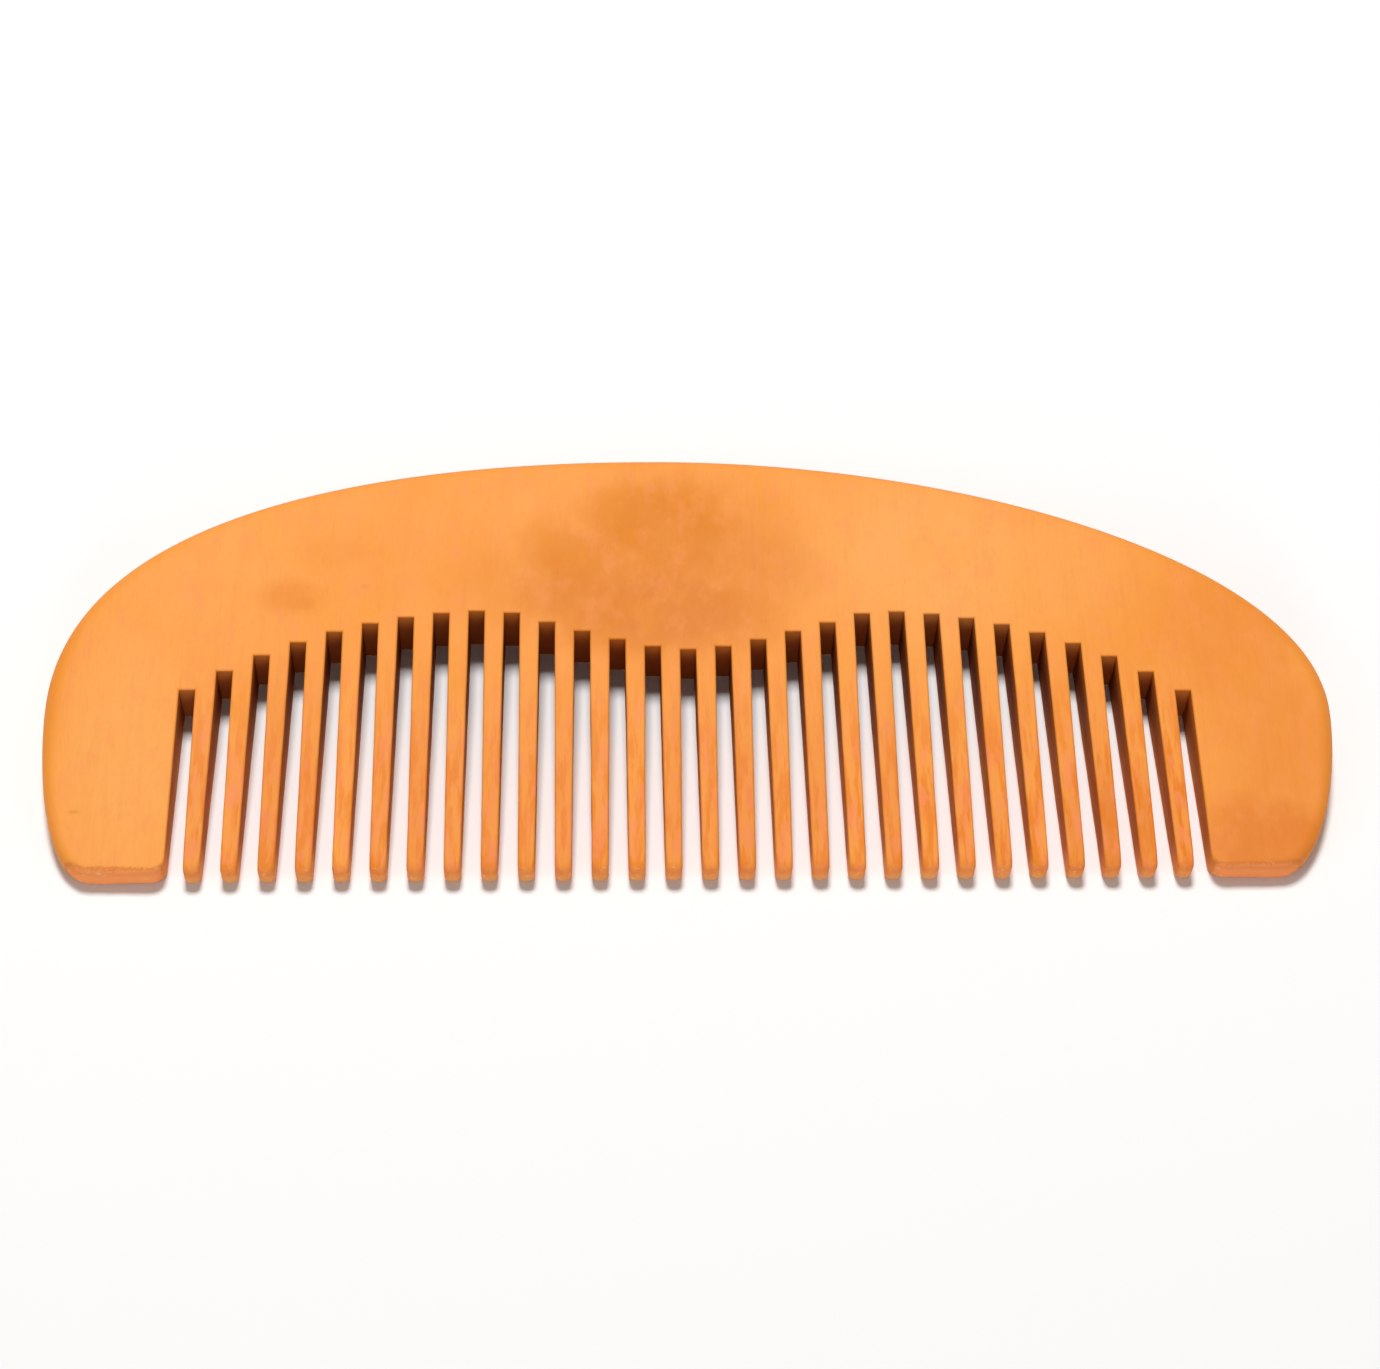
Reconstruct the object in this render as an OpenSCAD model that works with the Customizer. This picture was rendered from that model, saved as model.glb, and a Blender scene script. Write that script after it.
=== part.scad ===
// Wide tooth comb, sawn and sanded from one board of wood.
//
// The comb lies on its flat back face. +X runs along its length, +Y goes from the tooth tips to the
// arched back edge, and +Z points up, out of the front face. The origin is the middle of the bounding
// rectangle, on the surface that the comb lies on.
//
// The whole comb is one piece of wood. Its nodes are the regions that people name: the spine, the two
// end guards and the teeth. They share no volume, and meet face to face across the grain.

/* [Board] */
// Length from end to end
comb_l = 175.6; // [170:0.1:186]
// Width from the tooth tips to the crest of the back edge
comb_w = 64.7; // [60:0.1:70]
// Thickness at the tooth tips
tip_t = 3.2; // [2.8:0.1:4]
// Slope of the front face, rising from the tips toward the back edge, in degrees
face_slope = 7.1; // [5:0.1:8.5]
// Rounding of the front edge of the board
front_edge_r = 2.6; // [1:0.1:2.8]
// Rounding of the rear edge of the board
rear_edge_r = 1.6; // [0.8:0.1:2]

/* [Outline] */
// Sideways place of the crest
crest_x = -4; // [-12:0.5:12]
// How flat the crest is: the length of its curve handles
crest_flat = 45; // [40:1:52]
// Height of the widest level above the tooth tips
shoulder_h = 25; // [23:0.5:26]
// How far the left end runs on above its widest level
left_rise = 28.8; // [18:0.2:30]
// How far the right end runs on above its widest level
right_rise = 22.8; // [18:0.2:30]
// How far the left end runs on below its widest level
left_fall = 6; // [5:0.2:15]
// How far the right end runs on below its widest level
right_fall = 7.6; // [5:0.2:15]
// Inset of the left guard's foot from the left end
left_foot_in = 8.5; // [6:0.5:12]
// Inset of the right guard's foot from the right end
right_foot_in = 10.5; // [6:0.5:12]
// Rounding length where each foot turns up into the end
foot_turn = 7; // [3:0.1:8]
// How much further from the back edge the left foot reaches than the right foot
foot_skew = 0.5; // [0:0.1:1]

/* [Teeth] */
// Number of teeth between the guards
teeth = 28; // [20:2:28]
// Distance from tooth to tooth
pitch = 4.85; // [4.6:0.05:4.9]
// Width of a tooth at its root
root_w = 2.7; // [2.2:0.05:3]
// Width of a tooth near its tip
tip_w = 2.2; // [2:0.05:2.6]
// Sideways place of the row of teeth
row_x = -0.7; // [-2:0.05:2]
// Rounding of the long edges of the teeth
tooth_edge_r = 0.3; // [0.1:0.05:0.5]
// Rounding of the tooth tips, seen from the front
tip_r = 0.95; // [0.5:0.05:0.95]

/* [Slots] */
// Length of the longest slots, at the crests of the two arches
long_slot = 39.2; // [34:0.1:42]
// Length of the middle slot, in the dip between the arches
middle_slot = 33.2; // [30:0.1:36]
// Distance of each arch's crest from the middle of the row
arch_x = 26; // [22:0.5:30]
// Radius of the arches
arch_r = 77.5; // [74:0.5:120]
// Slope of the dip's sides, in degrees
dip_slope = 17.2; // [12:0.1:20]
// Rounding length of the bottom of the dip
dip_round = 7; // [2:0.5:10]

/* [Hidden] */
tip_y = -comb_w / 2;
shoulder_y = tip_y + shoulder_h;
left_x = -comb_l / 2;
right_x = comb_l / 2;
foot_right_y = tip_y + foot_skew;
// How far below its slots' ends each tooth leaves the spine
stub = 1;
// Rounding of each guard's foot: along its edges, and of its inner corner in plan
foot_edge_r = 1.1;
foot_corner_r = 2.2;
// Rounding of the tooth tips, in front and behind
tip_front_r = 1.4;
tip_rear_r = 1.1;
curve_steps = 22;
foot_steps = 12;
corner_steps = 4;
board_corner_steps = 3;
tooth_corner_steps = 2;
tip_steps = 6;
wood = [0.94, 0.60, 0.32];
guard_wood = [0.91, 0.57, 0.30];
tooth_wood = [0.92, 0.56, 0.28];

function two_digits(k) = k < 10 ? str("0", k) : str(k);
function tooth_name(k) = str("tooth_", two_digits(k));

// Height of the front face above the table at a given y, before any edge is rounded
function face_z(y) = tip_t + (y - tip_y) * tan(face_slope);
shoulder_t = face_z(shoulder_y);

// Line of the tooth tips and of the guards' feet
function tips_y(x) = tip_y + foot_skew * (x - left_x) / comb_l;

// Slots and teeth, counted from the left. Slot k lies to the left of tooth k.
function slot_x(k) = row_x + (k - 1 - teeth / 2) * pitch;
function tooth_x(k) = slot_x(k) + pitch / 2;
slot_half_w = (pitch - root_w) / 2;

// The slots end on two round arches that meet in a shallow dip.
function arch_y(x) = tip_y + long_slot - arch_r + sqrt(pow(arch_r, 2) - pow(abs(x) - arch_x, 2));
function dip_y(x) = tip_y + middle_slot + tan(dip_slope) * (norm([x, dip_round]) - dip_round);
function slot_end_y(k) = min(arch_y(slot_x(k) - row_x), dip_y(slot_x(k) - row_x));
function tooth_root_y(k) = min(slot_end_y(k), slot_end_y(k + 1)) - stub;

// Cubic curves, and their unit normals to the left of the way they run
function curve(p, t) =
    pow(1 - t, 3) * p[0] + 3 * pow(1 - t, 2) * t * p[1] + 3 * (1 - t) * t * t * p[2] + pow(t, 3) * p[3];
function curve_way(p, t) =
    pow(1 - t, 2) * (p[1] - p[0]) + 2 * (1 - t) * t * (p[2] - p[1]) + t * t * (p[3] - p[2]);
function left_of(way) = [-way[1], way[0]] / norm(way);

crest = [crest_x, comb_w / 2];
left_shoulder = [left_x, shoulder_y];
right_shoulder = [right_x, shoulder_y];
left_foot = [left_x + left_foot_in, tip_y];
right_foot = [right_x - right_foot_in, foot_right_y];
left_arc = [left_shoulder, left_shoulder + [0, left_rise], crest - [crest_flat, 0], crest];
right_arc = [crest, crest + [crest_flat, 0], right_shoulder + [0, right_rise], right_shoulder];
left_end = [left_foot, left_foot - [foot_turn, 0], left_shoulder - [0, left_fall], left_shoulder];
right_end = [right_foot, right_foot + [foot_turn, 0], right_shoulder - [0, right_fall], right_shoulder];

// A closed skin over a list of rings, which run clockwise as seen from the last ring's side
module skin(rings) {
    n = len(rings[0]);
    last = (len(rings) - 1) * n;
    sides = [for (i = [0:len(rings) - 2], j = [0:n - 1])
        let (a = i * n + j, b = i * n + (j + 1) % n) each [[a, b, b + n], [a, b + n, a + n]]];
    caps = [[for (j = [n - 1:-1:0]) j], [for (j = [0:n - 1]) last + j]];
    polyhedron(points = [for (ring = rings) each ring], faces = concat(sides, caps));
}

// A quarter turn of radius r: how far the profile has drawn in at a distance d from its end
function drawn_in(d, r) = d >= r ? 0 : r - sqrt(r * r - pow(r - d, 2));

// A rounded rectangle across the comb at y
function section(y, x0, x1, z0, z1, r, steps) =
    let (centres = [[x1 - r, z0 + r], [x1 - r, z1 - r], [x0 + r, z1 - r], [x0 + r, z0 + r]])
    [for (c = [0:3], s = [0:steps])
        let (angle = -90 + 90 * c + 90 * s / steps)
        [centres[c][0] + r * cos(angle), y, centres[c][1] + r * sin(angle)]];

// An outline point: where it is, its outward normal, and the front and rear rounding of the board there
function outline_point(p, normal, front_r, rear_r) = [p, normal, front_r, rear_r];

// One ring around a board's outline. angle is 0 on the upright wall, and 90 where a face begins.
function rear_ring(outline, angle) =
    [for (o = outline)
        let (q = o[0] - o[1] * o[3] * (1 - cos(angle)))
        [q[0], q[1], o[3] * (1 - sin(angle))]];
function front_ring(outline, angle) =
    [for (o = outline)
        let (q = o[0] - o[1] * o[2] * (1 - cos(angle)))
        [q[0], q[1], face_z(q[1]) - o[2] * (1 - sin(angle))]];

// The board inside an outline that runs clockwise, with its edges rounded
module board(outline) {
    turn = 90 / board_corner_steps;
    skin(concat(
        [for (s = [board_corner_steps:-1:0]) rear_ring(outline, s * turn)],
        [for (s = [0:board_corner_steps]) front_ring(outline, s * turn)]));
}

// Outline of the spine, closed by straight sides a little below the shoulders
spine_floor_y = shoulder_y - 2;
function spine_point(p, normal) = outline_point(p, normal, front_edge_r, rear_edge_r);
function spine_arc(arc, first) =
    [for (s = [first:curve_steps])
        let (t = s / curve_steps)
        spine_point(curve(arc, t), left_of(curve_way(arc, t)))];
spine_outline = concat(
    [spine_point([left_x, spine_floor_y], [-1, 0])],
    spine_arc(left_arc, 0),
    spine_arc(right_arc, 1),
    [spine_point([right_x, spine_floor_y], [1, 0])]);

// Plan of the spine: everything above the shoulders' level and the tooth roots, less the slots
module spine_plan() {
    notches = [for (k = [1:teeth + 1])
        let (
            x = slot_x(k),
            before = k == 1 ? shoulder_y : tooth_root_y(k - 1),
            after = k == teeth + 1 ? shoulder_y : tooth_root_y(k)
        )
        each [
            [x - slot_half_w, before],
            [x - slot_half_w, slot_end_y(k)],
            [x + slot_half_w, slot_end_y(k)],
            [x + slot_half_w, after]
        ]];
    polygon(concat(
        [[left_x - 1, comb_w], [left_x - 1, shoulder_y]],
        notches,
        [[right_x + 1, shoulder_y], [right_x + 1, comb_w]]));
}

module spine() {
    color(wood)
        intersection() {
            board(spine_outline);
            translate([0, 0, -1])
                linear_extrude(height = comb_w)
                    spine_plan();
        }
}

// Outline of the left guard: up its end, across to its inner wall, down that wall and round its corner
function guard_outline(end_curve, inner_x) =
    let (corner = [inner_x - foot_corner_r, end_curve[0][1] + foot_corner_r])
    concat(
        [for (s = [0:foot_steps])
            let (
                t = pow(s / foot_steps, 1.5),
                p = curve(end_curve, t),
                out = left_of(curve_way(end_curve, t)),
                thinning = face_z(p[1]) / shoulder_t
            )
            outline_point(p, out, front_edge_r * thinning, rear_edge_r * thinning)],
        [outline_point([inner_x, shoulder_y], [1, 0], tooth_edge_r, tooth_edge_r)],
        [for (s = [0:corner_steps])
            let (
                angle = -90 * s / corner_steps,
                out = [cos(angle), sin(angle)],
                r = tooth_edge_r + (foot_edge_r - tooth_edge_r) * s / corner_steps
            )
            outline_point(corner + foot_corner_r * out, out, r, r)]);

// The same for the right guard, which is worked out as a left one and mirrored
function mirrored(v) = [-v[0], v[1]];
function mirrored_outline(outline) =
    [for (i = [len(outline) - 1:-1:0])
        let (o = outline[i])
        outline_point(mirrored(o[0]), mirrored(o[1]), o[2], o[3])];

module left_end_guard() {
    color(guard_wood) board(guard_outline(left_end, slot_x(1) - slot_half_w));
}

module right_end_guard() {
    inner_x = slot_x(teeth + 1) + slot_half_w;
    color(guard_wood)
        board(mirrored_outline(guard_outline([for (p = right_end) mirrored(p)], -inner_x)));
}

// One ring of a tooth at y. The tip draws in on all four sides.
function tooth_ring(k, y) =
    let (
        x = tooth_x(k),
        root = tooth_root_y(k),
        tip = tips_y(x),
        d = y - tip,
        w = tip_w + (root_w - tip_w) * d / (root - tip),
        half_w = w / 2 - drawn_in(d, tip_r),
        z0 = drawn_in(d, tip_rear_r),
        z1 = face_z(y) - drawn_in(d, tip_front_r),
        r = min(tooth_edge_r, 0.9 * half_w, 0.45 * (z1 - z0))
    )
    section(y, x - half_w, x + half_w, z0, z1, r, tooth_corner_steps);

module tooth(k) {
    tip = tips_y(tooth_x(k));
    root = tooth_root_y(k);
    tip_rings = [for (s = [0:tip_steps]) tooth_ring(k, tip + tip_front_r * (1 - cos(90 * s / tip_steps)))];
    color(tooth_wood) skin(concat(tip_rings, [tooth_ring(k, root)]));
}

spine();
left_end_guard();
right_end_guard();
for (k = [1:teeth]) tooth(k);
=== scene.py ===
"""A wide tooth comb of varnished peach wood, lying on its flat rear face.

The frame gives where each tooth, guard and the spine lie. Every one of them is rebuilt here as a smooth
mesh of its own, and all of them share one wood, worked out in the row's own coordinates, so that the grain
runs on unbroken from the spine into the teeth.
"""

import math

import bpy
from mathutils import Matrix, Vector, noise


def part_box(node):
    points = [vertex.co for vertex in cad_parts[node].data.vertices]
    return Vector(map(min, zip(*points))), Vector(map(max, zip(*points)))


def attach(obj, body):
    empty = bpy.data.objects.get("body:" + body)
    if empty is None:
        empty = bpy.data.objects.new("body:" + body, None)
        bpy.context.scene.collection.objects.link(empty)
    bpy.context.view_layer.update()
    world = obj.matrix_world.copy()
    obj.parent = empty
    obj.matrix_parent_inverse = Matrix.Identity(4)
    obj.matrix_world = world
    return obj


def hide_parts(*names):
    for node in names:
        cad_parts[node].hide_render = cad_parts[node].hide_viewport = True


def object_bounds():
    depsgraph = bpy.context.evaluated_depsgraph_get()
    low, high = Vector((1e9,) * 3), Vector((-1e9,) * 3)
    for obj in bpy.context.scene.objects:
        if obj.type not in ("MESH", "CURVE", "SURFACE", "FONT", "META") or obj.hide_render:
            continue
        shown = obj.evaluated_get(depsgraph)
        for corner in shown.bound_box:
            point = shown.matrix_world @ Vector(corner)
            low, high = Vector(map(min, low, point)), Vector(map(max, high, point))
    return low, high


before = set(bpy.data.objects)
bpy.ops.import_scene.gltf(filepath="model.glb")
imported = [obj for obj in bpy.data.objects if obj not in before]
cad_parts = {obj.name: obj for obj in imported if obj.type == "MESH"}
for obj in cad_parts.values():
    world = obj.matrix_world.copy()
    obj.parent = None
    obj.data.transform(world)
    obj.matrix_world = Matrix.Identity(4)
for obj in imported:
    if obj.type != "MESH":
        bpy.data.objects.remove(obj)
cad_low, cad_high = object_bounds()

MM = 0.001  # this script's own unit is the millimetre, and Blender's is the metre

# ---------------------------------------------------------------- the comb's own sizes, in millimetres

# The board
LEFT_X, RIGHT_X = cad_low.x / MM, cad_high.x / MM
TIP_Y, CREST_Y = cad_low.y / MM, cad_high.y / MM
TIP_T = 3.2  # thickness at the tips
FACE_RISE = math.tan(math.radians(7.1))  # slope of the front face
FRONT_EDGE_R = 2.6
REAR_EDGE_R = 1.6

# The outline: where its crest is, how long its curves' handles are, and how far in the feet begin
CREST_X = -4.0
CREST_FLAT = 45.0
LEFT_RISE, RIGHT_RISE = 28.8, 22.8
LEFT_FALL, RIGHT_FALL = 6.0, 7.6
LEFT_FOOT_IN, RIGHT_FOOT_IN = 8.5, 10.5
FOOT_TURN = 7.0
FOOT_SKEW = 0.5  # how much further from the back edge the left foot reaches than the right one
FOOT_EDGE_R = 1.1
FOOT_CORNER_R = 2.2

# The dents that hand sanding left in the feet
DENT_DEPTH = 0.16
BROAD_DENT, FINE_DENT = 1.7, 0.6
DENTS_FULL, DENTS_END = 0.4, 2.6  # they keep their depth up to the first height above the tips, then fade

# The teeth
TOOTH_NAMES = sorted(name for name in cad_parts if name.startswith("tooth_"))
TIP_W = 2.2
TOOTH_EDGE_R = 0.3
TIP_R = 0.95  # rounding of a tip, seen from the front
TIP_FRONT_R = 1.4  # and seen from the side, in front and at the rear
TIP_REAR_R = 1.1
TIP_SOFT = 0.45  # how much more the long edges are rounded at a tip, worn by use
TIP_WEAR = 2.6  # and how far up the tooth that reaches
WOBBLE, WOBBLE_LENGTH = 0.035, 5.0  # how far a tooth's sides wander, and over what length
WOBBLE_FADE = 6.0  # they run true again over this length at the spine

# The slots, whose ends follow two round arches that meet in a shallow dip
LONG_SLOT, MIDDLE_SLOT = 39.2, 33.2
SLOTS_TOP = TIP_Y + LONG_SLOT  # where the longest slots end
ARCH_X, ARCH_R = 26.0, 77.5
DIP_RISE, DIP_ROUND = math.tan(math.radians(17.2)), 7.0

# Mesh resolution
ARC_STEPS = 72
FOOT_STEPS = 40
CROWDING = 1.4  # crowds a curve's steps toward the shoulder, so that guard and spine shade alike there
FOOT_CROWDING = 1.8  # and toward the foot, where the curve is tightest
WALL_GAP = 1.2  # from step to step along a straight wall
BOARD_TURNS = 9  # steps round each of the board's edges
TOOTH_TURNS = 5  # round each long edge of a tooth
TIP_TURNS = 12  # and round a tip, or a foot's inner corner
HOLD = 0.06  # a face begins this far inside its rounded edge, so that it shades flat
SHARP_ANGLE = 32  # in degrees: where two faces turn by more than this, their edge shades sharp


def span(node, axis):
    """Where a CAD node begins and ends along an axis, in millimetres."""
    low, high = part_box(node)
    return low[axis] / MM, high[axis] / MM


SHOULDER_Y = span("left_end_guard", 1)[1]
LEFT_INNER_X = span("left_end_guard", 0)[1]
RIGHT_INNER_X = span("right_end_guard", 0)[0]


def face_z(y):
    """Height of the front face, which rises from the tips toward the back edge."""
    return TIP_T + (y - TIP_Y) * FACE_RISE


SHOULDER_T = face_z(SHOULDER_Y)


def smooth(low, high, value):
    """0 below low, 1 above high, and an S-shaped ramp between."""
    t = min(1.0, max(0.0, (value - low) / (high - low)))
    return t * t * (3 - 2 * t)


def ripple(place, size, seed):
    """A smooth random value between about -1 and 1 that changes over size millimetres."""
    elsewhere = Vector((seed, 3.7 * seed, 9.1))
    return noise.noise(Vector(place) / size + elsewhere)


# ---------------------------------------------------------------- outline curves


def curve(p, t):
    """A point and the outward normal, to the left of the way it runs, on a cubic curve."""
    u = 1 - t
    place = u**3 * p[0] + 3 * u * u * t * p[1] + 3 * u * t * t * p[2] + t**3 * p[3]
    way = u * u * (p[1] - p[0]) + 2 * u * t * (p[2] - p[1]) + t * t * (p[3] - p[2])
    return place, Vector((-way.y, way.x)).normalized()


CREST = Vector((CREST_X, CREST_Y))
LEFT_SHOULDER = Vector((LEFT_X, SHOULDER_Y))
RIGHT_SHOULDER = Vector((RIGHT_X, SHOULDER_Y))
LEFT_FOOT = Vector((LEFT_X + LEFT_FOOT_IN, TIP_Y))
RIGHT_FOOT = Vector((RIGHT_X - RIGHT_FOOT_IN, TIP_Y + FOOT_SKEW))
ALONG, UP = Vector((1, 0)), Vector((0, 1))

LEFT_ARC = [LEFT_SHOULDER, LEFT_SHOULDER + LEFT_RISE * UP, CREST - CREST_FLAT * ALONG, CREST]
RIGHT_ARC = [CREST, CREST + CREST_FLAT * ALONG, RIGHT_SHOULDER + RIGHT_RISE * UP, RIGHT_SHOULDER]
LEFT_END = [LEFT_FOOT, LEFT_FOOT - FOOT_TURN * ALONG, LEFT_SHOULDER - LEFT_FALL * UP, LEFT_SHOULDER]
RIGHT_END = [RIGHT_FOOT, RIGHT_FOOT + FOOT_TURN * ALONG, RIGHT_SHOULDER - RIGHT_FALL * UP, RIGHT_SHOULDER]


# ---------------------------------------------------------------- boards with rounded edges


def column(place, normal, front_r, rear_r):
    """One upright line of points on a board's edge, from the rear face to the front face.

    normal is the outward normal in plan. At an inner corner it is the sum of the two walls' normals, so that
    both walls' roundings meet along the mitre.
    """
    points = []
    for step in range(BOARD_TURNS, -1, -1):
        angle = math.radians(90 * step / BOARD_TURNS)
        plan = place - normal * rear_r * (1 - math.cos(angle))
        points.append(Vector((plan.x, plan.y, rear_r * (1 - math.sin(angle)))))
    for step in range(BOARD_TURNS + 1):
        angle = math.radians(90 * step / BOARD_TURNS)
        plan = place - normal * front_r * (1 - math.cos(angle))
        points.append(Vector((plan.x, plan.y, face_z(plan.y) - front_r * (1 - math.sin(angle)))))
    rear_hold = place - normal * (rear_r + HOLD)
    front_hold = place - normal * (front_r + HOLD)
    points.insert(0, Vector((rear_hold.x, rear_hold.y, 0)))
    points.append(Vector((front_hold.x, front_hold.y, face_z(front_hold.y))))
    return points


def board_mesh(name, columns, joints):
    """A closed mesh from columns that run clockwise. joints holds each column that a flat joint follows."""
    count, height = len(columns), len(columns[0])
    points = [point for one in columns for point in one]
    faces = []
    for here in range(count):
        after = (here + 1) % count
        a, b = here * height, after * height
        if here in joints:
            faces.append([a + i for i in range(height)] + [b + i for i in range(height - 1, -1, -1)])
        else:
            faces += [(a + i, a + i + 1, b + i + 1, b + i) for i in range(height - 1)]
    faces.append([here * height for here in range(count)])
    faces.append([here * height + height - 1 for here in range(count - 1, -1, -1)])
    return piece(name, points, faces)


def piece(name, points, faces):
    """A visible piece made of points in millimetres, smooth except across its sharp edges."""
    mesh = bpy.data.meshes.new(name)
    mesh.from_pydata([point * MM for point in points], [], faces)
    mesh.validate()
    mesh.shade_smooth()
    mesh.set_sharp_from_angle(angle=math.radians(SHARP_ANGLE))
    made = bpy.data.objects.new(name, mesh)
    bpy.context.scene.collection.objects.link(made)
    return made


# ---------------------------------------------------------------- the spine


def slot_walls():
    """The inner x of both walls of every slot, from left to right."""
    edges = [LEFT_INNER_X]
    for name in TOOTH_NAMES:
        edges += span(name, 0)
    edges.append(RIGHT_INNER_X)
    return [(edges[i], edges[i + 1]) for i in range(0, len(edges), 2)]


def slot_ends():
    """The y at which every slot ends, on two round arches that meet in a shallow dip."""
    walls = slot_walls()
    middle = (walls[0][0] + walls[-1][1]) / 2
    ends = []
    for low, high in walls:
        off = abs((low + high) / 2 - middle)
        arch = SLOTS_TOP - ARCH_R + math.sqrt(ARCH_R**2 - (off - ARCH_X) ** 2)
        dip = TIP_Y + MIDDLE_SLOT + DIP_RISE * (math.hypot(off, DIP_ROUND) - DIP_ROUND)
        ends.append(min(arch, dip))
    return ends


def make_spine():
    """The arched back: its outer edge, then the slots' ends from right to left."""
    left = [curve(LEFT_ARC, (step / ARC_STEPS) ** CROWDING) for step in range(ARC_STEPS)]
    right = [curve(RIGHT_ARC, 1 - (1 - step / ARC_STEPS) ** CROWDING) for step in range(ARC_STEPS + 1)]
    columns = [column(place, normal, FRONT_EDGE_R, REAR_EDGE_R) for place, normal in left + right]
    joints = {len(columns) - 1}

    walls, ends = slot_walls(), slot_ends()
    roots = [SHOULDER_Y] + [span(name, 1)[1] for name in TOOTH_NAMES] + [SHOULDER_Y]
    for k in range(len(walls) - 1, -1, -1):
        (low, high), end = walls[k], ends[k]
        right_side = [(high, roots[k + 1], -ALONG), (high, end, -ALONG - UP)]
        left_side = [(low, end, ALONG - UP), (low, roots[k], ALONG)]
        for x, y, normal in right_side + left_side:
            columns.append(column(Vector((x, y)), normal, TOOTH_EDGE_R, TOOTH_EDGE_R))
        joints.add(len(columns) - 1)
    return board_mesh("spine_wood_piece", columns, joints)


# ---------------------------------------------------------------- the end guards


def guard_columns(end_curve, inner_x):
    """A left guard in plan, clockwise: up its end, down its inner wall, round the corner and along the foot.

    Each column is a place, its outward normal, and the radii of the front and rear edges. With them comes the
    number of the column that the joint with the spine follows.
    """
    columns = []
    for step in range(FOOT_STEPS + 1):
        share = (step / FOOT_STEPS) ** FOOT_CROWDING
        place, normal = curve(end_curve, 1 - (1 - share) ** CROWDING)
        thinning = face_z(place.y) / SHOULDER_T
        columns.append((place, normal, FRONT_EDGE_R * thinning, REAR_EDGE_R * thinning))
    joint = len(columns) - 1
    corner = Vector((inner_x - FOOT_CORNER_R, end_curve[0].y + FOOT_CORNER_R))
    wall_steps = round((SHOULDER_Y - corner.y) / WALL_GAP)
    for step in range(wall_steps):
        y = SHOULDER_Y + (corner.y - SHOULDER_Y) * step / wall_steps
        columns.append((Vector((inner_x, y)), ALONG, TOOTH_EDGE_R, TOOTH_EDGE_R))
    for step in range(TIP_TURNS + 1):
        share = step / TIP_TURNS
        angle = math.radians(-90 * share)
        out = Vector((math.cos(angle), math.sin(angle)))
        r = TOOTH_EDGE_R + (FOOT_EDGE_R - TOOTH_EDGE_R) * share
        columns.append((corner + FOOT_CORNER_R * out, out, r, r))
    foot_steps = round((corner.x - end_curve[0].x) / WALL_GAP)
    first_r, rear_first_r = columns[0][2], columns[0][3]
    for step in range(1, foot_steps):
        share = step / foot_steps
        place = Vector((corner.x, end_curve[0].y)).lerp(end_curve[0], share)
        front_r = FOOT_EDGE_R + (first_r - FOOT_EDGE_R) * share
        rear_r = FOOT_EDGE_R + (rear_first_r - FOOT_EDGE_R) * share
        columns.append((place, -UP, front_r, rear_r))
    return columns, joint


def mirrored(v):
    """A place or direction in plan, flipped left to right."""
    return Vector((-v.x, v.y))


def worn_foot(points, seed):
    """Hand sanding leaves a guard's foot a little uneven, less and less toward the spine."""
    for point in points:
        near = 1 - smooth(DENTS_FULL, DENTS_END, point.y - TIP_Y)
        if near > 0:
            dent = 0.5 + 0.5 * ripple(point, BROAD_DENT, seed) + 0.35 * ripple(point, FINE_DENT, seed)
            point.y += DENT_DEPTH * near * max(0.0, dent)


def make_guard(name, end_curve, inner_x, seed):
    """An end guard. The right one is worked out as a left one and mirrored."""
    is_right = inner_x > 0
    if is_right:
        end_curve, inner_x = [mirrored(p) for p in end_curve], -inner_x
    plan, joint = guard_columns(end_curve, inner_x)
    if is_right:
        plan = [(mirrored(p), mirrored(n), front_r, rear_r) for p, n, front_r, rear_r in reversed(plan)]
        joint = len(plan) - 2 - joint  # the column that came after the joint now comes before it
    columns = [column(*one) for one in plan]
    for one in columns:
        worn_foot(one, seed)
    return board_mesh(name, columns, {joint})


# ---------------------------------------------------------------- the teeth


def drawn_in(d, r):
    """How far a quarter turn of radius r has drawn in at a distance d from its end."""
    return 0.0 if d >= r else r - math.sqrt(max(0.0, r * r - (r - d) ** 2))


def tooth_section(x0, x1, z0, z1, r, y):
    """A rounded rectangle across a tooth, clockwise seen from the spine, with flats held beside its turns."""
    half = min(x1 - x0, z1 - z0) / 2
    r = min(r, 0.9 * half)  # a turn and its held flat have to fit in half a side
    hold = min(HOLD, 0.5 * (half - r))
    ring = []
    corners = [(x1 - r, z0 + r), (x1 - r, z1 - r), (x0 + r, z1 - r), (x0 + r, z0 + r)]
    for turn, (cx, cz) in enumerate(corners):
        for step in range(TOOTH_TURNS + 1):
            angle = math.radians(-90 + 90 * (turn + step / TOOTH_TURNS))
            place = Vector((cx + r * math.cos(angle), y, cz + r * math.sin(angle)))
            back = hold * Vector((math.sin(angle), 0, -math.cos(angle)))
            if step == 0:
                ring.append(place + back)
            ring.append(place)
            if step == TOOTH_TURNS:
                ring.append(place - back)
    return ring


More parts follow.
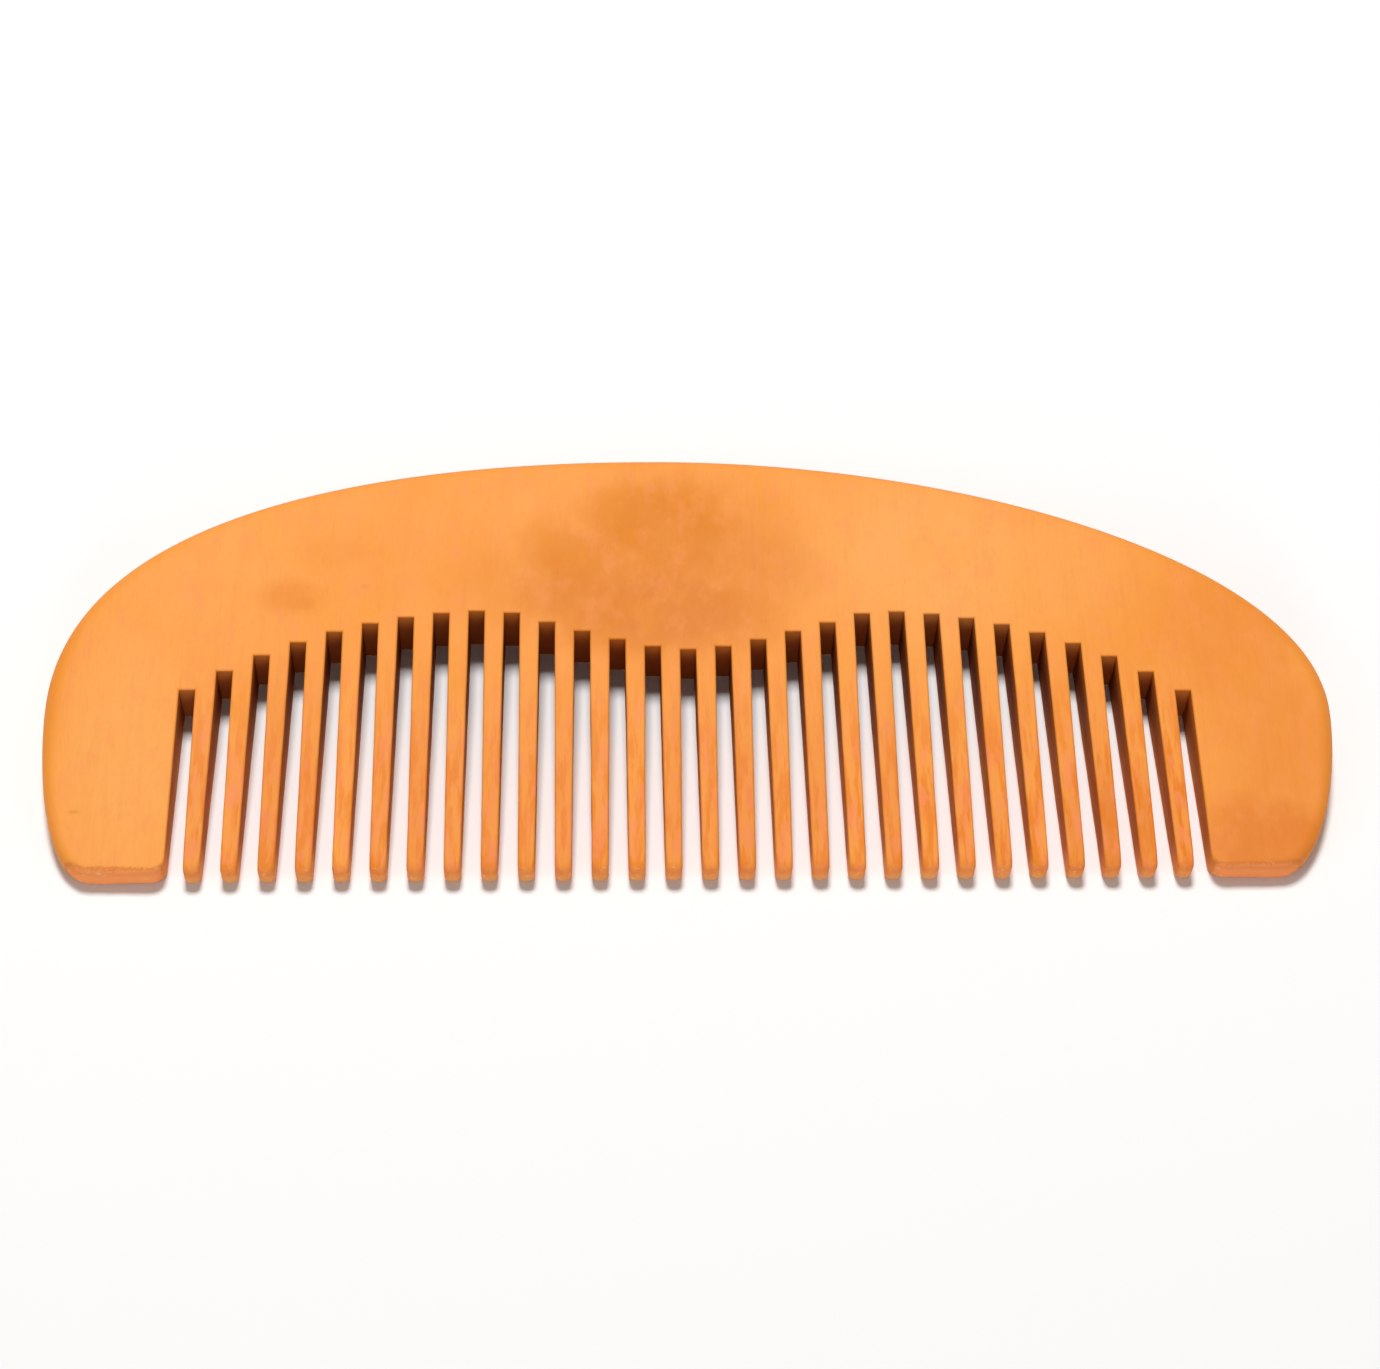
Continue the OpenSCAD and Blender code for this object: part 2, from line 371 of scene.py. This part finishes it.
def make_tooth(name):
    """One tooth, from its rounded tip up to the spine."""
    (low_x, high_x), (tip, root) = span(name, 0), span(name, 1)
    middle, root_w = (low_x + high_x) / 2, high_x - low_x
    seed = 1.0 + middle
    body = root - tip - TIP_FRONT_R
    body_steps = round(body / WALL_GAP)
    stations = [TIP_FRONT_R * (1 - math.cos(math.radians(90 * s / TIP_TURNS))) for s in range(TIP_TURNS + 1)]
    stations += [TIP_FRONT_R + body * s / body_steps for s in range(1, body_steps + 1)]
    rings = []
    for d in stations:
        y = tip + d
        wander = WOBBLE * smooth(0.0, WOBBLE_FADE, root - y)
        w = TIP_W + (root_w - TIP_W) * d / (root - tip)
        half_w = w / 2 - drawn_in(d, TIP_R)
        z0, z1 = drawn_in(d, TIP_REAR_R), face_z(y) - drawn_in(d, TIP_FRONT_R)
        r = TOOTH_EDGE_R + TIP_SOFT * (1 - smooth(0.0, TIP_WEAR, d))
        left = middle - half_w + wander * ripple((middle - 1, y, 0), WOBBLE_LENGTH, seed)
        right = middle + half_w + wander * ripple((middle + 1, y, 0), WOBBLE_LENGTH, seed)
        rings.append(tooth_section(left, right, z0, z1, r, y))
    count = len(rings[0])
    points = [point for ring in rings for point in ring]
    faces = [list(range(count)), [len(points) - 1 - i for i in range(count)]]
    for level in range(len(rings) - 1):
        for i in range(count):
            a, b = level * count + i, level * count + (i + 1) % count
            faces.append((a, a + count, b + count, b))
    return piece(name + "_piece", points, faces)


# ---------------------------------------------------------------- the pieces on the frame

spine = make_spine()
left_guard = make_guard("left_guard_piece", LEFT_END, LEFT_INNER_X, seed=4.0)
right_guard = make_guard("right_guard_piece", RIGHT_END, RIGHT_INNER_X, seed=11.0)
made = [
    (spine, "spine", "spine_wood"),
    (left_guard, "left_end_guard", "guard_wood"),
    (right_guard, "right_end_guard", "guard_wood"),
]
made += [(make_tooth(name), name, "tooth_wood") for name in TOOTH_NAMES]
for one, node, slot in made:
    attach(one, "root")
    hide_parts(node)


# ---------------------------------------------------------------- the wood

SLOT_W = span(TOOTH_NAMES[0], 0)[0] - LEFT_INNER_X
PITCH = span(TOOTH_NAMES[1], 0)[0] - span(TOOTH_NAMES[0], 0)[0]

# Patches of tone on this board: middle x and y, half width and half height in millimetres, and strength
DARK_HEART = [(-4, 20, 14, 10, 1.0), (-14, 13, 13, 10, 0.9), (5, 20, 11, 8, 0.4), (-26, 10, 8, 9, 0.3)]
ROSY_HEART = [(-4, 7, 17, 8, 1.0), (6, 13, 13, 7, 0.6), (-16, 9, 9, 6, 0.6)]
PALE_SAPWOOD = [(-76, -17, 12, 22, 0.8), (33, 15, 18, 17, 0.9), (-66, 14, 14, 16, 0.3), (50, 14, 14, 11, 0.5)]
# The first AMBER_RIM strip, down the left end, is painted shade that deepens that end's rounding; its other
# patches are the wood's own tone
AMBER_RIM = [(-88, -6, 5, 34, 0.8), (-85, -26, 6, 9, 0.5), (-38, 14, 14, 9, 0.35), (68, 8, 16, 13, 0.5)]
RED_STREAKS = [(77, -29, 13, 10, 0.75), (80, -14, 11, 16, 0.35), (76, 2, 12, 14, 0.3), (57, -26, 9, 9, 0.6)]
KNOTS = [(-55.8, 8.8, 4.6, 3.2, 0.5), (-53.6, 8.0, 2.0, 1.6, 0.6), (-50, 16, 5.0, 3.0, 0.2)]
SPECKS = [(-45.3, 10.6, 0.7, 0.5, 0.3), (-82, -23.5, 0.8, 0.3, 0.35)]

BASE = (0.84, 0.302, 0.046)
HEART = (0.68, 0.198, 0.003)
ROSY = (0.675, 0.198, 0.018)
BLUSH = (0.84, 0.272, 0.072)
SAPWOOD = (0.86, 0.352, 0.080)
AMBER = (0.80, 0.255, 0.022)
GOLDEN = (0.84, 0.300, 0.026)
RED = (0.67, 0.170, 0.020)
KNOT = (0.71, 0.200, 0.008)
SPECK = (0.52, 0.130, 0.014)
FIBRE = (0.55, 0.150, 0.020)
AMBER_STAIN = (0.75, 0.185, 0.005)
ROSY_STAIN = (0.86, 0.250, 0.095)
# A duller, pinker tone that paints shade onto the rounding along the back
BACK_EDGE_SHADE = (0.60, 0.200, 0.070)
END_GRAIN = (0.87, 0.285, 0.100)
# A darker, drabber tone for the lowest part of each tip's end
TIP_LOW_TONE = (0.56, 0.330, 0.120)
SANDED_RIM = (0.58, 0.160, 0.035)
CHIP = (0.93, 0.500, 0.260)
# Dark bare wood of the saw cuts, deepened into painted shade inside the slots
KERF_AND_SHADE = (0.23, 0.030, 0.004)

BOARD_TONES = [  # laid one over another in this order
    (AMBER_RIM, AMBER),
    (PALE_SAPWOOD, SAPWOOD),
    (DARK_HEART, HEART),
    (ROSY_HEART, ROSY),
    (RED_STREAKS, RED),
    (KNOTS, KNOT),
    (SPECKS, SPECK),
]


class Graph:
    """Builds one material's nodes. A method that works something out returns the socket that carries it."""

    def __init__(self, material):
        material.use_nodes = True
        self.tree = material.node_tree
        self.shader = self.tree.nodes["Principled BSDF"]

    def node(self, kind, inputs, **options):
        """Adds a node, sets its options, and links or sets its inputs by name or number."""
        made = self.tree.nodes.new(kind)
        for name, value in options.items():
            setattr(made, name, value)
        for key, value in inputs.items():
            self.feed(made.inputs[key], value)
        return made

    def feed(self, socket, value):
        """Links an input to another node's socket, or sets it to a number, vector or colour."""
        if isinstance(value, bpy.types.NodeSocket):
            self.tree.links.new(value, socket)
        elif isinstance(value, tuple) and socket.type == "RGBA":
            socket.default_value = (*value, 1.0)
        else:
            socket.default_value = value

    def math(self, operation, a, b=0.0):
        """A number worked out from one or two others."""
        return self.node("ShaderNodeMath", {0: a, 1: b}, operation=operation).outputs[0]

    def total(self, *terms):
        """The sum of any number of values."""
        result = terms[0]
        for term in terms[1:]:
            result = self.math("ADD", result, term)
        return result

    def product(self, *factors):
        """The product of any number of values."""
        result = factors[0]
        for factor in factors[1:]:
            result = self.math("MULTIPLY", result, factor)
        return result

    def vector(self, operation, a, b=(0, 0, 0)):
        """A vector, or a number for LENGTH, worked out from one or two vectors."""
        made = self.node("ShaderNodeVectorMath", {0: a, 1: b}, operation=operation)
        return [out for out in made.outputs if out.enabled][0]

    def stretch(self, vector, x, y, z):
        """Divides a place by a size along each axis."""
        return self.vector("MULTIPLY", vector, (1 / x, 1 / y, 1 / z))

    def split(self, vector):
        """The x, y and z of a vector."""
        return self.node("ShaderNodeSeparateXYZ", {0: vector}).outputs

    def place(self):
        """The point on the surface, in millimetres of the row frame."""
        inside = self.node("ShaderNodeTexCoord", {}).outputs["Object"]
        return self.stretch(inside, MM, MM, MM)

    def facing(self):
        """The x, y and z of the surface's normal."""
        return self.split(self.node("ShaderNodeTexCoord", {}).outputs["Normal"])

    def noise(self, place, size, detail=2.0, roughness=0.5, distortion=0.0):
        """Random clouds between 0 and 1, of about the given x, y and z size in millimetres."""
        inputs = {"Vector": self.stretch(place, *size), "Scale": 1.0, "Detail": detail}
        inputs |= {"Roughness": roughness, "Distortion": distortion}
        return self.node("ShaderNodeTexNoise", inputs).outputs[0]

    def ramp(self, value, low, high):
        """0 at low, 1 at high, and an S-shaped ramp between. low may be the larger."""
        inputs = {"Value": value, "From Min": low, "From Max": high}
        return self.node("ShaderNodeMapRange", inputs, interpolation_type="SMOOTHSTEP").outputs[0]

    def mix(self, share, under, over):
        """A colour laid over another, fully where share is 1."""
        inputs = {"Factor": share, "A": under, "B": over}
        made = self.node("ShaderNodeMix", {}, data_type="RGBA")
        for socket in made.inputs:
            if socket.enabled and socket.name in inputs:
                self.feed(socket, inputs[socket.name])
        return [out for out in made.outputs if out.enabled][0]

    def tint(self, colour, tone, strength, *covers):
        """Lays a tone over a colour, as strongly as given where every cover is 1."""
        return self.mix(self.product(*covers, strength), colour, tone)

    def patches(self, place, spots, warp):
        """How strongly any of a list of soft-edged ovals covers a place."""
        core, rim = 0.35, 1.3  # full strength inside the core, and none past the rim, as shares of the oval
        cover = 0.0
        for x, y, half_w, half_h, strength in spots:
            away = self.vector("SUBTRACT", place, (x, y, 0))
            away = self.vector("MULTIPLY", away, (1 / half_w, 1 / half_h, 0))
            far = self.total(self.vector("LENGTH", away), warp)
            one = self.product(self.ramp(far, rim, core), strength)
            cover = one if isinstance(cover, float) else self.math("MAXIMUM", cover, one)
        return cover


def among_teeth(g, x, y, margin=0.3):
    """1 in the row of teeth and slots, and 0 from margin outside it and from just past the slots' ends."""
    inset = 0.1
    left = g.ramp(x, LEFT_INNER_X - margin, LEFT_INNER_X + inset)
    right = g.ramp(x, RIGHT_INNER_X + margin, RIGHT_INNER_X - inset)
    return g.product(left, right, g.ramp(y, SLOTS_TOP + 3, SLOTS_TOP + 1))


def board_tones(g, place):
    """This board's own heartwood, sapwood and knots, with cloudy borders."""
    clouds = g.noise(place, size=(8, 11, 8), detail=4.0, roughness=0.6)
    warp = g.math("SUBTRACT", clouds, 0.5)
    colour = BASE
    for spots, tone in BOARD_TONES:
        colour = g.mix(g.patches(place, spots, warp), colour, tone)
    colour = g.tint(colour, SAPWOOD, 0.16, g.ramp(clouds, 0.40, 0.75))
    colour = g.tint(colour, GOLDEN, 0.25, g.ramp(clouds, 0.52, 0.30))
    blush = g.noise(place, size=(3.4, 5.0, 3.4), detail=3.0, roughness=0.6)
    return g.tint(colour, BLUSH, 0.35, g.ramp(blush, 0.48, 0.68))


def grain(g, place, colour):
    """Fibres, faint growth lines and pores, all along the comb's width."""
    fibres = g.noise(place, size=(0.26, 6.0, 0.26), detail=3.0, roughness=0.65)
    growth = g.noise(place, size=(1.3, 30.0, 2.6), distortion=0.3)
    pores = g.ramp(g.noise(place, size=(0.10, 1.1, 0.10), detail=1.0), 0.66, 0.80)
    colour = g.tint(colour, FIBRE, 0.10, g.ramp(fibres, 0.45, 0.75))
    colour = g.tint(colour, FIBRE, 0.06, g.ramp(growth, 0.50, 0.70))
    colour = g.tint(colour, FIBRE, 0.18, pores)
    return colour, fibres, pores


def varnish_stains(g, place, colour):
    """Streaks in the teeth, which soaked up the varnish, most near the tips and toward the right.

    Every tooth reads the noise at a place of its own, so that no streak crosses a slot.
    """
    x, y, _ = g.split(place)
    tooth = g.math("FLOOR", g.product(g.math("SUBTRACT", x, LEFT_INNER_X + SLOT_W / 2), 1 / PITCH))
    own = g.node("ShaderNodeTexWhiteNoise", {"W": tooth}, noise_dimensions="1D").outputs["Color"]
    furthest = 90.0
    moved = g.vector("ADD", place, g.vector("MULTIPLY", own, (furthest, furthest, furthest)))
    amber = g.ramp(g.noise(moved, size=(0.9, 9.0, 1.1), detail=3.0, roughness=0.6), 0.42, 0.62)
    rosy = g.ramp(g.noise(moved, size=(1.3, 4.5, 1.6), roughness=0.6), 0.50, 0.64)
    tooth_tone = g.split(own)[0]
    down = g.product(g.ramp(y, SHOULDER_Y + 12, TIP_Y + 10), among_teeth(g, x, y))
    amber_strength = g.total(0.70, g.product(g.ramp(x, 10, 70), 0.30))
    colour = g.tint(colour, AMBER_STAIN, amber_strength, amber, down)
    colour = g.tint(colour, ROSY_STAIN, 0.60, rosy, down)
    return g.tint(colour, RED, 0.30, tooth_tone, down)


def painted_edge_shade(g, place, facing, colour):
    """Painted shade on the outer roundings: duller along the comb's back, and a deeper amber round both ends.
    """
    x, y, _ = g.split(place)
    back = g.product(g.ramp(facing[1], 0.15, 0.7), g.ramp(y, SHOULDER_Y, SHOULDER_Y + 14))
    colour = g.tint(colour, BACK_EDGE_SHADE, 0.55, back)
    outside = g.math("SUBTRACT", 1.0, among_teeth(g, x, y))
    side = g.product(g.ramp(g.math("ABSOLUTE", facing[0]), 0.1, 0.7), outside)
    return g.tint(colour, AMBER, 0.5, side)


def saw_cuts_and_shade(g, place, facing, colour):
    """The slots' bare saw-cut walls, with painted shade that darkens them toward their ends and the deeper
    they lie.
    """
    x, y, z = g.split(place)
    upright = g.ramp(g.math("ABSOLUTE", facing[2]), 0.75, 0.15)
    above_tips = g.ramp(y, TIP_Y + 1.0, TIP_Y + 6.0)
    cut = g.product(upright, among_teeth(g, x, y, margin=0.4), above_tips)
    face = g.total(g.product(g.math("SUBTRACT", y, TIP_Y), FACE_RISE), TIP_T)
    deep = g.ramp(g.math("SUBTRACT", face, z), 0.2, 3.5)
    near_spine = g.ramp(y, SHOULDER_Y - 10, SHOULDER_Y + 7)
    saw_lines = g.noise(place, size=(4.0, 0.16, 9.0), roughness=0.6)
    # The bare cut's own tone and saw lines, plus painted shade toward the slots' ends and deep in them
    cut_and_shade = g.total(
        0.25,
        g.product(near_spine, 0.25),
        g.product(near_spine, deep, 0.32),
        g.product(saw_lines, 0.15),
    )
    return g.tint(colour, KERF_AND_SHADE, cut_and_shade, cut), cut, saw_lines


def end_grain(g, place, facing, colour):
    """What faces along the comb's width at the tips and the feet: rosy, chipped, and drab under the tips."""
    x, y, z = g.split(place)
    speckle = g.noise(place, size=(0.35, 0.35, 0.35), detail=3.0, roughness=0.7)
    ragged = g.total(facing[1], g.product(g.math("SUBTRACT", speckle, 0.5), 0.9))
    ends = g.product(g.ramp(ragged, -0.20, -0.85), g.ramp(y, TIP_Y + 2.4, TIP_Y + 1.0))
    teeth = among_teeth(g, x, y)
    feet = g.math("SUBTRACT", 1.0, teeth)
    rim = g.product(g.ramp(ends, 0.0, 0.3), g.ramp(ends, 0.9, 0.4), feet)
    # Darker and drabber toward the bottom of each tip's end
    under_tips = g.product(ends, g.ramp(z, 2.6, 1.0), teeth)
    chips = g.ramp(g.noise(place, size=(1.1, 0.6, 0.5), roughness=0.6), 0.64, 0.72)
    colour = g.tint(colour, END_GRAIN, g.total(0.45, g.product(feet, 0.3)), ends)
    colour = g.tint(colour, SANDED_RIM, 0.55, rim)
    colour = g.tint(colour, TIP_LOW_TONE, 0.75, under_tips, g.ramp(speckle, 0.3, 0.6))
    return g.tint(colour, CHIP, 0.7, ends, chips), ends, speckle


def wood(name):
    """Varnished peach wood whose grain runs along the teeth.

    All three of the record's wood slots take it, because they are one board. What differs from place to place
    follows from where the surface lies and which way it faces.
    """
    material = bpy.data.materials.new(name)
    g = Graph(material)
    place, facing = g.place(), g.facing()
    colour = board_tones(g, place)
    colour, fibres, pores = grain(g, place, colour)
    colour = varnish_stains(g, place, colour)
    # Painted shade on the outer roundings, set by which way they face
    colour = painted_edge_shade(g, place, facing, colour)
    # Bare saw cuts, with painted shade deep in the slots
    colour, cut, saw_lines = saw_cuts_and_shade(g, place, facing, colour)
    colour, ends, speckle = end_grain(g, place, facing, colour)
    g.feed(g.shader.inputs["Base Color"], colour)

    # Satin varnish, duller on cut walls and end grain
    cloudy = g.noise(place, size=(6, 10, 6), detail=3.0, roughness=0.55)
    bare = g.math("MAXIMUM", cut, ends)
    g.feed(g.shader.inputs["Roughness"], g.total(0.46, g.product(cloudy, 0.18), g.product(bare, 0.25)))
    g.feed(g.shader.inputs["Specular IOR Level"], 0.15)

    # Relief in millimetres: fibres and pores just felt under the varnish, sanding waves, rough ends and cuts
    relief = g.total(
        g.product(fibres, 0.010),
        g.product(cloudy, 0.05),
        g.product(pores, -0.010),
        g.product(ends, speckle, 0.06),
        g.product(cut, saw_lines, 0.05),
    )
    bump = g.node("ShaderNodeBump", {"Height": relief, "Strength": 1.0, "Distance": MM})
    g.feed(g.shader.inputs["Normal"], bump.outputs["Normal"])
    return material


woods = {slot: wood(slot) for slot in dict.fromkeys(slot for _, _, slot in made)}
for one, _, slot in made:
    one.data.materials.append(woods[slot])


# ---------------------------------------------------------------- floor, light and camera

FLOOR_HALF = 2.0  # metres
FLOOR_COLOUR = (0.88, 0.88, 0.88)
WARM = (1.0, 0.94, 0.88)  # the tint of the front fill and of the glow from all round

# The camera: its place as seen from the comb in degrees and millimetres, and its lens in millimetres
CAMERA_AZIMUTH, CAMERA_ELEVATION, CAMERA_ROLL = -4.07, 55.0, 3.36
CAMERA_DISTANCE = 342.1
LOOK_AT = (-0.55, -4.65, 6.66)
FOCAL_LENGTH, SENSOR_W = 65.46, 36.0


def make_floor():
    """A plain pale table top under the comb."""
    corners = [(-1, -1, 0), (1, -1, 0), (1, 1, 0), (-1, 1, 0)]
    mesh = bpy.data.meshes.new("floor")
    mesh.from_pydata([FLOOR_HALF * Vector(corner) for corner in corners], [], [(0, 1, 2, 3)])
    floor = bpy.data.objects.new("floor", mesh)
    bpy.context.scene.collection.objects.link(floor)
    paper = bpy.data.materials.new("pale_floor")
    g = Graph(paper)
    g.feed(g.shader.inputs["Base Color"], FLOOR_COLOUR)
    g.feed(g.shader.inputs["Roughness"], 0.9)
    g.feed(g.shader.inputs["Specular IOR Level"], 0.1)
    mesh.materials.append(paper)


def make_light(name, place, size, watts, colour=(1, 1, 1)):
    """A square area light that looks at the comb. Its place and size are in metres."""
    data = bpy.data.lights.new(name, "AREA")
    data.shape = "SQUARE"
    data.size = size
    data.energy = watts
    data.color = colour
    light = bpy.data.objects.new(name, data)
    light.location = place
    light.rotation_mode = "QUATERNION"
    light.rotation_quaternion = (-Vector(place)).to_track_quat("-Z", "Y")
    bpy.context.scene.collection.objects.link(light)


def make_camera():
    """A camera above the tips' side of the table, turned a little on its own axis."""
    azimuth, elevation = math.radians(CAMERA_AZIMUTH), math.radians(CAMERA_ELEVATION)
    level = Vector((math.cos(azimuth), math.sin(azimuth), 0))
    across = Vector((math.sin(azimuth), -math.cos(azimuth), 0))
    back = across * math.cos(elevation) + Vector((0, 0, math.sin(elevation)))
    roll = Matrix.Rotation(math.radians(CAMERA_ROLL), 3, "Z")
    turn = Matrix((level, back.cross(level), back)).transposed() @ roll
    place = (Vector(LOOK_AT) + back * CAMERA_DISTANCE) * MM
    data = bpy.data.cameras.new("camera")
    data.lens, data.sensor_width = FOCAL_LENGTH, SENSOR_W
    camera = bpy.data.objects.new("camera", data)
    camera.matrix_world = Matrix.Translation(place) @ turn.to_4x4()
    bpy.context.scene.collection.objects.link(camera)
    bpy.context.scene.camera = camera


def make_world(colour, strength):
    """An even glow from all round, as in a light tent."""
    world = bpy.data.worlds.new("studio")
    world.use_nodes = True
    background = world.node_tree.nodes["Background"]
    background.inputs["Color"].default_value = (*colour, 1)
    background.inputs["Strength"].default_value = strength
    bpy.context.scene.world = world


make_floor()
make_light("key", place=(-0.06, 0.61, 1.17), size=0.34, watts=16.9)
make_light("front_fill", place=(0.0, -1.2, 0.19), size=0.40, watts=4.4, colour=WARM)
make_light("left_fill", place=(-0.95, -0.65, 0.60), size=0.60, watts=1.7)
make_light("right_fill", place=(0.95, -0.65, 0.60), size=0.60, watts=1.2)
make_world(WARM, strength=0.20)
make_camera()
bpy.context.scene.view_settings.view_transform = "Standard"
